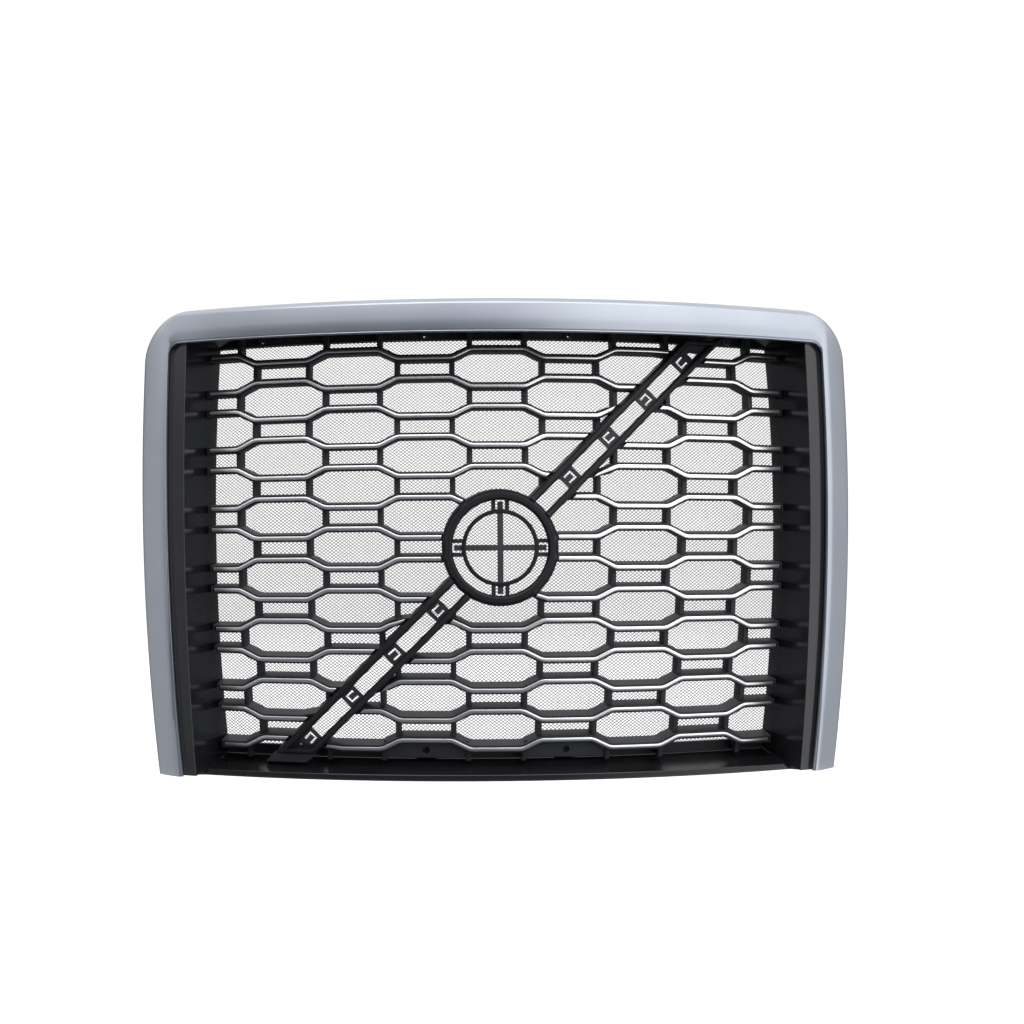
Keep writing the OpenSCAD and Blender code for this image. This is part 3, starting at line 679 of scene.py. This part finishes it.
for start, end in ((BADGE_R - 6, DIAGONAL_TOP * math.sqrt(2)), (DIAGONAL_FOOT * math.sqrt(2), -BADGE_R + 6)):
    for edge in (-1, 1):
        rings = []
        count = 36
        for i in range(count + 1):
            distance = start + (end - start) * i / count
            ring = []
            for w, d in ((22.5, 1), (22.9, BAR_DEPTH), (18.5, BAR_DEPTH), (18.5, 1)):
                x, z = along(distance + (-edge * w if abs(distance) > 400 else 0), edge * w)
                ring.append(place_bar(x, z, d))
            rings.append(ring)
        lattice.sweep(rings)
for distance in LUG_AT:
    for sign in (-1, 1):
        corners = [along(sign * distance + u, w) for u, w in ((-5, 8), (5, 8), (5, 20), (-5, 20))]
        lattice.prism(corners, on_face, 3, 7)
finish_piece("lattice", lattice.mesh("lattice"), BLACK, ["lattice"], sharp=32)

# ---------- diagonal ----------

RAIL = [(22.5, 0.6), (22.5, -5.5), (21.9, -6.2), (20.9, -6.4), (20.2, -7.2), (19.9, -12.6), (19.3, -13.6),
        (18.4, -14.0), (15.2, -14.0), (14.4, -13.6), (14.0, -12.8), (13.8, -9.2), (13.2, -8.6), (11.6, -8.4),
        (11.2, -8.0), (11.2, 0.6)]
PAD_HALF, FLOOR_HALF, FLOOR, FLOOR_BACK = 14, 12, -6, -2.5


def tongue_slot(size=15.0, cut=3.2):
    """Outline of a U-shaped slot round a springy tongue, closed towards +X."""
    o, i = size / 2, size / 2 - cut
    return [(-o, -o), (o, -o), (o, o), (-o, o), (-o, i), (i, i), (i, -i), (-o, -i)]


def flipped(points):
    return [(-x, z) for x, z in reversed(points)]


def diagonal(name, pads, far, sign, end_hole):
    """A length of the diagonal bar from the badge out to its flat end, far from the middle."""
    shape = Shape()

    def place(distance, across, d):
        x, z = along(distance, across)
        return on_face(sign * x, sign * z, d)

    def corner_at(w, side):
        """Where this line of the rail turns across the flat end."""
        return math.sqrt(2) * (far - (DIAGONAL_W / 2 - w)) - side * w

    start = BADGE_R - 3
    steps, end_steps = 36, 8
    rings = []
    for i in range(steps + 1):
        rings.append([place(start + (corner_at(w, 1) - start) * i / steps, w, d) for w, d in RAIL])
    for i in range(1, end_steps):
        t = i / end_steps
        rings.append([place(corner_at(w, 1) + 2 * w * t, w - 2 * w * t, d) for w, d in RAIL])
    for i in range(steps, -1, -1):
        rings.append([place(start + (corner_at(w, -1) - start) * i / steps, -w, d) for w, d in RAIL])
    shape.sweep(rings)
    # Pads with a tongue slot each; the bar is open between them
    for index, pad in enumerate(pads):
        outline = dense_outline(box_outline(pad - PAD_HALF, -FLOOR_HALF, pad + PAD_HALF, FLOOR_HALF))
        hook = tongue_slot() if index % 2 == 0 else flipped(tongue_slot())
        shape.prism(outline, place, FLOOR, FLOOR_BACK, [moved(hook, pad, 0)])
    # Closed floor from the last pad to the end
    last = pads[-1] + PAD_HALF
    outline = [(last, -FLOOR_HALF), (corner_at(FLOOR_HALF, -1), -FLOOR_HALF),
               (corner_at(FLOOR_HALF, 1), FLOOR_HALF), (last, FLOOR_HALF)]
    shape.prism(outline, place, FLOOR, FLOOR_BACK, [moved(end_hole, last, 0)])
    finish_piece(name, shape.mesh(name), BLACK, [name], sharp=30)


diagonal("diagonal_upper", PADS_UPPER, DIAGONAL_TOP, 1, [(4, -8), (17, -8), (9, 2), (4, 4)])
diagonal("diagonal_lower", PADS_LOWER, -DIAGONAL_FOOT, -1, [(4, -5), (9, -5), (9, 5), (4, 5)])

# ---------- badge base ----------

base = Shape()
rim = [(91.0, 0.6), (91.0, -5.2), (90.5, -6.0), (89.2, -6.6), (87.4, -9.5), (86.2, -15.5), (85.6, -16.9),
       (84.2, -17.9), (80.6, -18.0), (78.4, -17.8), (77.4, -17.0), (77.0, -15.8), (76.7, -9.4), (76.2, -8.8),
       (75.0, -8.6), (74.6, -8.2), (74.6, 0.6)]
rings = []
for i in range(160):
    a = 2 * math.pi * i / 160
    rings.append([on_face(r * math.cos(a), r * math.sin(a), d) for r, d in rim])
base.sweep(rings, closed_path=True)
ring_profile = [(60, -2.4), (60, -6.6), (59.5, -7.3), (58.6, -7.6), (54.9, -7.6), (54, -7.3), (53.5, -6.6),
                (53.5, -2.4)]
rings = []
for i in range(120):
    a = 2 * math.pi * i / 120
    rings.append([on_face(r * math.cos(a), r * math.sin(a), d) for r, d in ring_profile])
base.sweep(rings, closed_path=True)
for turn in (0, 90, 180, 270):
    pad = turned(box_outline(57, -14, 76, 14), turn)
    hook = turned(moved(tongue_slot(), 67.6, 0), turn)
    base.prism(dense_outline(pad), on_face, FLOOR, -2.5, [hook])
for turn in (0, 90):
    spoke = turned(box_outline(-55, -4.5, 55, 4.5), turn)
    base.prism(dense_outline(spoke), on_face, -6.2 - turn / 900, -2.6)
finish_piece("badge_base", base.mesh("badge_base"), BLACK, ["badge_base"], sharp=32)

# ---------- bug screen ----------

CELL_W, CELL_H, STRAND = 6.8, 5.2, 1.2


def inside_throat(x, z, margin=12):
    if z > THROAT_TOP + margin - 4 or z < THROAT_FOOT - margin:
        return False
    return abs(x) < THROAT_W + margin - lean(z, THROAT_LEAN)


points, faces = [], []
rows = range(math.floor((THROAT_FOOT - 14) / (CELL_H / 2)), math.ceil((THROAT_TOP + 14) / (CELL_H / 2)))
for r in rows:
    z0, z1 = r * CELL_H / 2, (r + 1) * CELL_H / 2
    shift = CELL_W / 2 if r % 2 else 0.0
    for c in range(-70, 71):
        x0 = c * CELL_W + shift
        if not inside_throat(x0, z0) or not inside_throat(x0, z1):
            continue
        for way in (-1, 1):
            x1 = x0 + way * CELL_W / 2
            half = STRAND / 2
            start = len(points)
            # The lower edge of each strand stands further forward than its upper edge
            for x, z, d in ((x0, z0 - half, SCREEN_DEPTH - 0.45), (x0, z0 + half, SCREEN_DEPTH + 0.45),
                            (x1, z1 + half, SCREEN_DEPTH + 0.45), (x1, z1 - half, SCREEN_DEPTH - 0.45)):
                points.append(on_face(x, z, d))
            ids = [start, start + 3, start + 2, start + 1]
            faces.append(ids if way > 0 else ids[::-1])
mesh = bpy.data.meshes.new("bug_screen")
mesh.from_pydata([(x * MM, y * MM, z * MM) for x, y, z in points], [], faces)
finish_piece("bug_screen", mesh, MESH, ["bug_screen"], sharp=180)

# ---------- screws seen from the front ----------


def screw_heads(name, places, seat, head_r, material, back=53):
    shape = Shape()
    for x, z in places:
        y = face_y(x, z, seat)
        shank = back - seat
        profile = [(0.0, -3.4), (head_r * 0.55, -3.3), (head_r * 0.85, -2.8), (head_r, -1.6), (head_r, 0.0),
                   (2.5, 0.0), (2.5, shank), (0.0, shank)]
        rings = [[(x + r * math.cos(a), y + d, z + r * math.sin(a)) for r, d in profile[1:-1]]
                 for a in (2 * math.pi * i / 32 for i in range(32))]
        shape.sweep(rings, closed_path=True, closed_ring=False)
        socket = circle(head_r * 0.5, 6)
        shape.prism(circle(head_r * 0.56, 32), flat_place(x, z, y), -3.31, -1.2, [socket])
    finish_piece(name, shape.mesh(name), material, [name], sharp=30)


screw_heads("lattice_screws_top", TOP_SCREWS, RAIL_FRONT, TOP_HEAD_R, SCREW)
screw_heads("lattice_screws_bottom", BOTTOM_SCREWS, BOTTOM_SEAT, BOTTOM_HEAD_R, SCREW)

# ---------- pieces that keep their CAD shape ----------

LOOKS = {"screen_strip": STRIP, "bracket": ZINC, "surround_screws": ZINC, "diagonal_screws": ZINC,
         "badge_screws": ZINC, "screen_rivets": ALLOY}
for name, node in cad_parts.items():
    for start, look in LOOKS.items():
        if name.startswith(start):
            node.data.materials.clear()
            node.data.materials.append(look)

# ---------- camera ----------

CAMERA_PLACE = (-0.0889, -2.020, -0.0201)
YAW, PITCH, ROLL = 0.0226, 0.0221, -0.0053
camera_data = bpy.data.cameras.new("camera")
camera_data.sensor_width = 36
camera_data.lens = 40.68
camera_data.shift_x = 0.0418
camera_data.shift_y = 0.0227
camera_data.clip_end = 50
camera = bpy.data.objects.new("camera", camera_data)
scene.collection.objects.link(camera)
right = Vector((math.cos(YAW), -math.sin(YAW), 0))
ahead = Vector((math.sin(YAW), math.cos(YAW), 0))
up = Vector((0, 0, 1))
up, ahead = (math.cos(PITCH) * up - math.sin(PITCH) * ahead, math.sin(PITCH) * up + math.cos(PITCH) * ahead)
right, up = (math.cos(ROLL) * right + math.sin(ROLL) * up, math.cos(ROLL) * up - math.sin(ROLL) * right)
turn = Matrix((right, up, -ahead)).transposed().to_4x4()
camera.matrix_world = Matrix.Translation(CAMERA_PLACE) @ turn
scene.camera = camera

# ---------- floor and light ----------

world = bpy.data.worlds.new("world")
world.use_nodes = True
world_nodes, world_links = world.node_tree.nodes, world.node_tree.links
directions = world_nodes.new("ShaderNodeTexCoord")
split = world_nodes.new("ShaderNodeSeparateXYZ")
world_links.new(directions.outputs["Generated"], split.inputs["Vector"])
# The studio's light comes from above; the camera sees plain white all round
rise = world_nodes.new("ShaderNodeMapRange")
rise.interpolation_type = "SMOOTHSTEP"
rise.inputs["From Min"].default_value = 0.22
rise.inputs["From Max"].default_value = 0.62
world_links.new(split.outputs["Z"], rise.inputs["Value"])
tones = world_nodes.new("ShaderNodeValToRGB")
tones.color_ramp.elements[0].color = (0.13, 0.136, 0.148, 1)
tones.color_ramp.elements[1].color = (1, 1, 1, 1)
world_links.new(rise.outputs["Result"], tones.inputs["Fac"])
light = world_nodes["Background"]
world_links.new(tones.outputs["Color"], light.inputs["Color"])
white = world_nodes.new("ShaderNodeBackground")
rays = world_nodes.new("ShaderNodeLightPath")
seen = world_nodes.new("ShaderNodeMixShader")
world_links.new(rays.outputs["Is Camera Ray"], seen.inputs["Fac"])
world_links.new(light.outputs["Background"], seen.inputs[1])
world_links.new(white.outputs["Background"], seen.inputs[2])
world_links.new(seen.outputs["Shader"], world_nodes["World Output"].inputs["Surface"])
white.inputs["Color"].default_value = (1, 1, 1, 1)
for background in (light, white):
    background.inputs["Strength"].default_value = 1.1
scene.world = world
scene.view_settings.view_transform = "Standard"

floor_mesh = bpy.data.meshes.new("floor")
floor_mesh.from_pydata([(-9, -0.7, -0.9), (9, -0.7, -0.9), (9, 14, -0.9), (-9, 14, -0.9)], [], [(0, 1, 2, 3)])
floor = bpy.data.objects.new("floor", floor_mesh)
scene.collection.objects.link(floor)
paper = surface("pale_floor", (0.90, 0.90, 0.90), (0.94, 0.94, 0.94), (0.7, 0.8), 0.0, 60, 0.02)
floor_mesh.materials.append(paper)
floor.visible_glossy = False


def softbox(name, place, aim, size, power):
    data = bpy.data.lights.new(name, "AREA")
    data.shape = "RECTANGLE"
    data.size, data.size_y = size
    data.energy = power
    lamp = bpy.data.objects.new(name, data)
    scene.collection.objects.link(lamp)
    lamp.location = place
    lamp.rotation_euler = (Vector(aim) - Vector(place)).to_track_quat("-Z", "Y").to_euler()
    return lamp


softbox("key_right", (1.5, -1.75, 0.3), (0.1, -0.15, 0), (2.4, 3.6), 32)
softbox("side_right", (2.5, -0.3, 0.1), (0.5, -0.3, 0.1), (2.6, 3.0), 12)
softbox("side_left", (-2.5, -0.5, 0.1), (-0.5, -0.5, 0.1), (2.6, 3.0), 12)
softbox("top", (0, -0.9, 2.2), (0, -0.15, 0), (2.6, 1.2), 22)
wash = softbox("floor_wash", (0, 7.5, 6.0), (0, 7.5, -0.9), (18, 14), 700)
wash.visible_glossy = False
